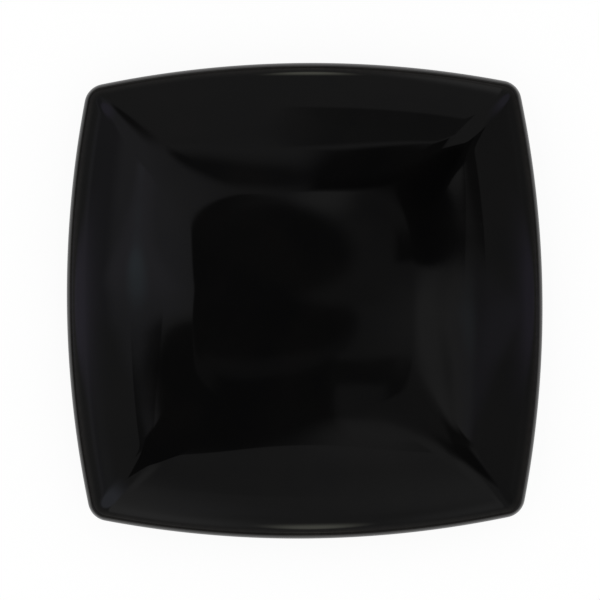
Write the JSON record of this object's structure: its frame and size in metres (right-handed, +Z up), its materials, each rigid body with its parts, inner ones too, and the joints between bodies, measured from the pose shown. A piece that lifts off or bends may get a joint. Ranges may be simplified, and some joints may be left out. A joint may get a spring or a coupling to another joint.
{
  "type": "square dinner plate",
  "caption": "Square dinner plate in glossy black glaze, with bowed sides, a shallow dished well, wide sloping sides, a lip bevelled on its outer side and a foot ring with a bare standing edge.",
  "frame": {"origin": "on the table under the middle of the plate, in the plane of the foot ring's standing edge", "axes": "+Z up out of the plate's face, +X and +Y through the middles of two neighbouring sides"},
  "size_m": [0.27, 0.27, 0.027],
  "materials": {
    "stoneware": "matte",
    "bare_foot": "matte",
    "face_glaze": "gloss",
    "back_glaze": "gloss",
    "recess_glaze": "gloss"
  },
  "bodies": {
    "root": {"clay_body": "stoneware", "foot_ring": "bare_foot", "face_glaze": "face_glaze", "back_glaze": "back_glaze", "recess_glaze": "recess_glaze"}
  },
  "joints": []
}
